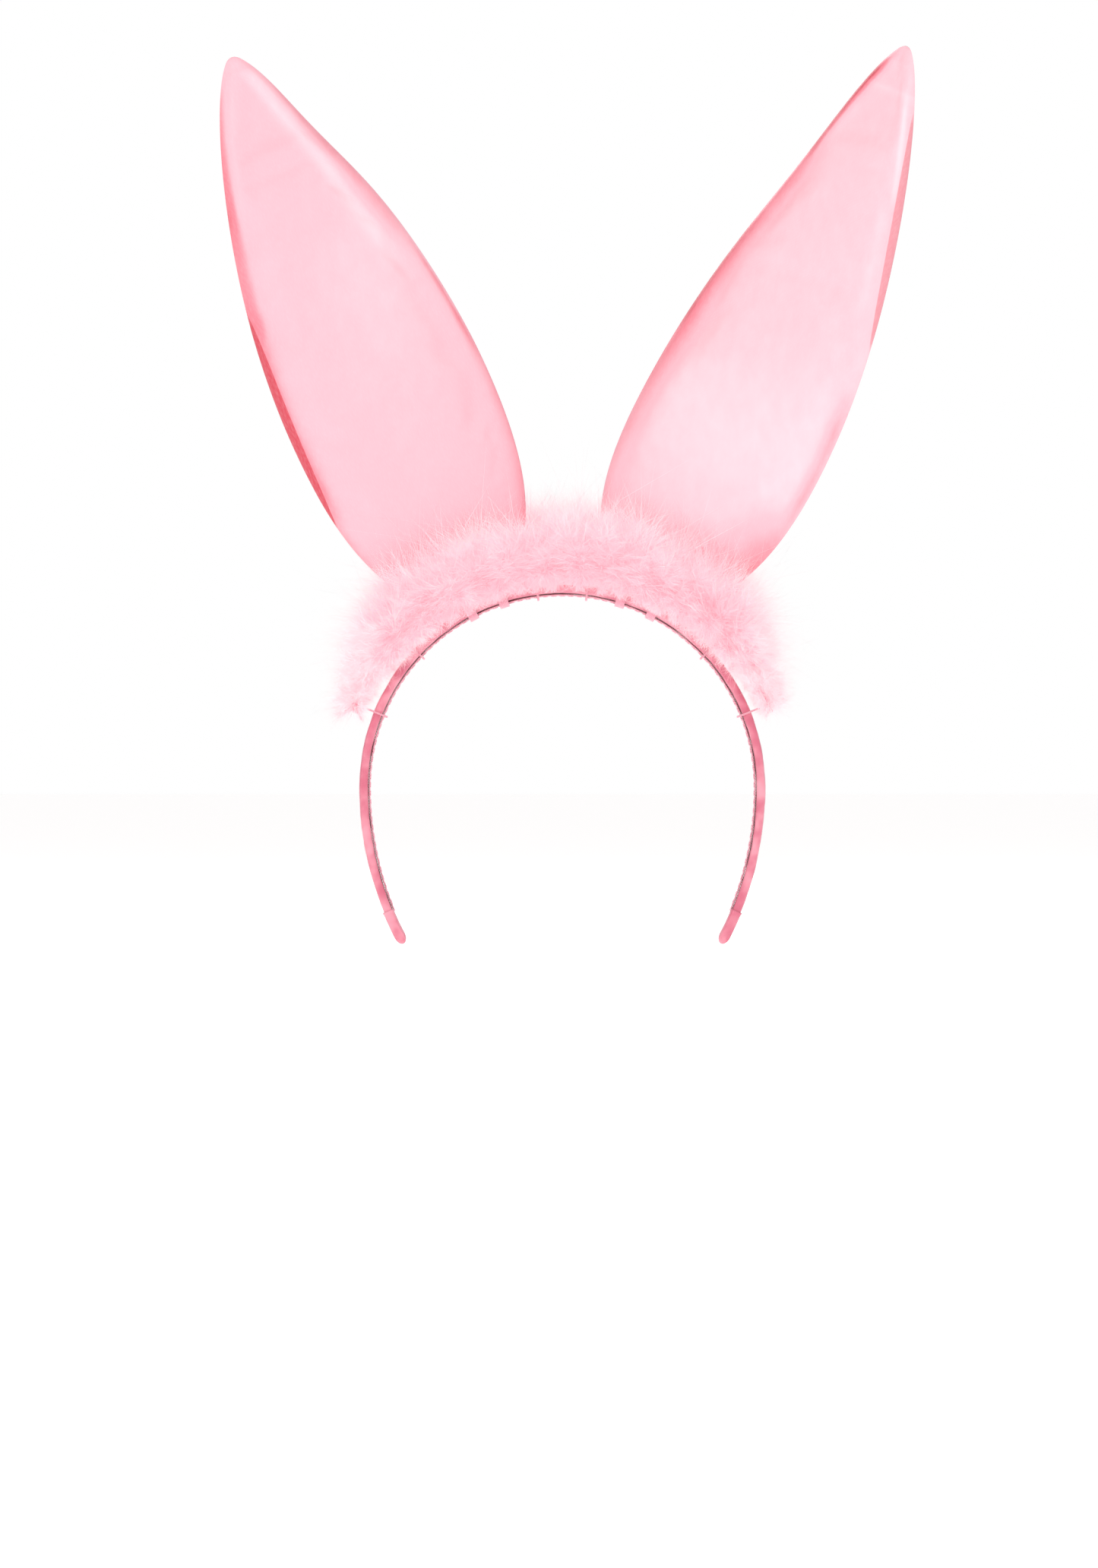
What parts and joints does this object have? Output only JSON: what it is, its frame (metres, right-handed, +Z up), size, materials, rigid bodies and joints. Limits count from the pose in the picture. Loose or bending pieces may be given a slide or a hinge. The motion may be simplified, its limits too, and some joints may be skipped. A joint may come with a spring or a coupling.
{
  "type": "animal ears headband",
  "caption": "Satin-covered hair band with two tall wired rabbit ears standing in a fluffy marabou feather trim.",
  "frame": {"origin": "middle of the ribbon lining's head-side face at the crown, where the band rests on top of the head", "axes": "+Z up, along the height of the ears; -Y the way the wearer faces, across the band's width; +X the wearer's left"},
  "size_m": [0.2617, 0.0576, 0.3377],
  "materials": {
    "band_plastic": "plain moulded plastic, hidden under the satin",
    "band_satin": "rose pink satin",
    "ear_satin": "pale pink satin with a soft sheen",
    "ribbon": "ribbed ribbon",
    "wadding": "white polyester wadding",
    "steel_wire": "plain drawn wire",
    "stem_tape": "pink cloth tape wound on wire",
    "thread": "pink polyester thread",
    "boa_string": "pink cotton string",
    "marabou": "fluffy pale pink down, nearly white at its tips"
  },
  "bodies": {
    "headband": {"headband_core": "band_plastic", "satin_sleeve": "band_satin", "ribbon_lining": "ribbon", "left_end_tip": "band_satin", "right_end_tip": "band_satin", "left_foot_wire": "steel_wire", "left_lashing_inner": "thread", "left_lashing_outer": "thread", "right_foot_wire": "steel_wire", "right_lashing_inner": "thread", "right_lashing_outer": "thread", "front_boa_string": "boa_string", "front_plumes_right_end": "marabou", "front_plumes_right_ear": "marabou", "front_plumes_middle": "marabou", "front_plumes_left_ear": "marabou", "front_plumes_left_end": "marabou", "back_boa_string": "boa_string", "back_plumes_right_end": "marabou", "back_plumes_right_ear": "marabou", "back_plumes_middle": "marabou", "back_plumes_left_ear": "marabou", "back_plumes_left_end": "marabou", "binding_thread_1": "thread", "binding_thread_2": "thread", "binding_thread_3": "thread", "binding_thread_4": "thread", "binding_thread_5": "thread", "binding_thread_6": "thread"},
    "left_stem": {"left_ear_stem": "stem_tape"},
    "left_ear": {"left_ear_wire": "steel_wire", "left_ear_filling": "wadding", "left_ear_front_panel": "ear_satin", "left_ear_back_panel": "ear_satin"},
    "right_stem": {"right_ear_stem": "stem_tape"},
    "right_ear": {"right_ear_wire": "steel_wire", "right_ear_filling": "wadding", "right_ear_front_panel": "ear_satin", "right_ear_back_panel": "ear_satin"}
  },
  "joints": [
    {"name": "left_ear_swing", "type": "hinge", "parent": "headband", "child": "left_stem", "pos_m": [0.0306, 0, 0.00224], "axis": [0, 1, 0], "range_deg": [-12, 12]},
    {"name": "left_ear_tilt", "type": "hinge", "parent": "left_stem", "child": "left_ear", "pos_m": [0.03387, 0, 0.00921], "axis": [0.9056, 0, -0.4242], "range_deg": [-30, 30]},
    {"name": "right_ear_swing", "type": "hinge", "parent": "headband", "child": "right_stem", "pos_m": [-0.0306, 0, 0.00224], "axis": [0, -1, 0], "range_deg": [-12, 12]},
    {"name": "right_ear_tilt", "type": "hinge", "parent": "right_stem", "child": "right_ear", "pos_m": [-0.03395, 0, 0.00917], "axis": [0.9003, 0, 0.4352], "range_deg": [-30, 30]}
  ]
}
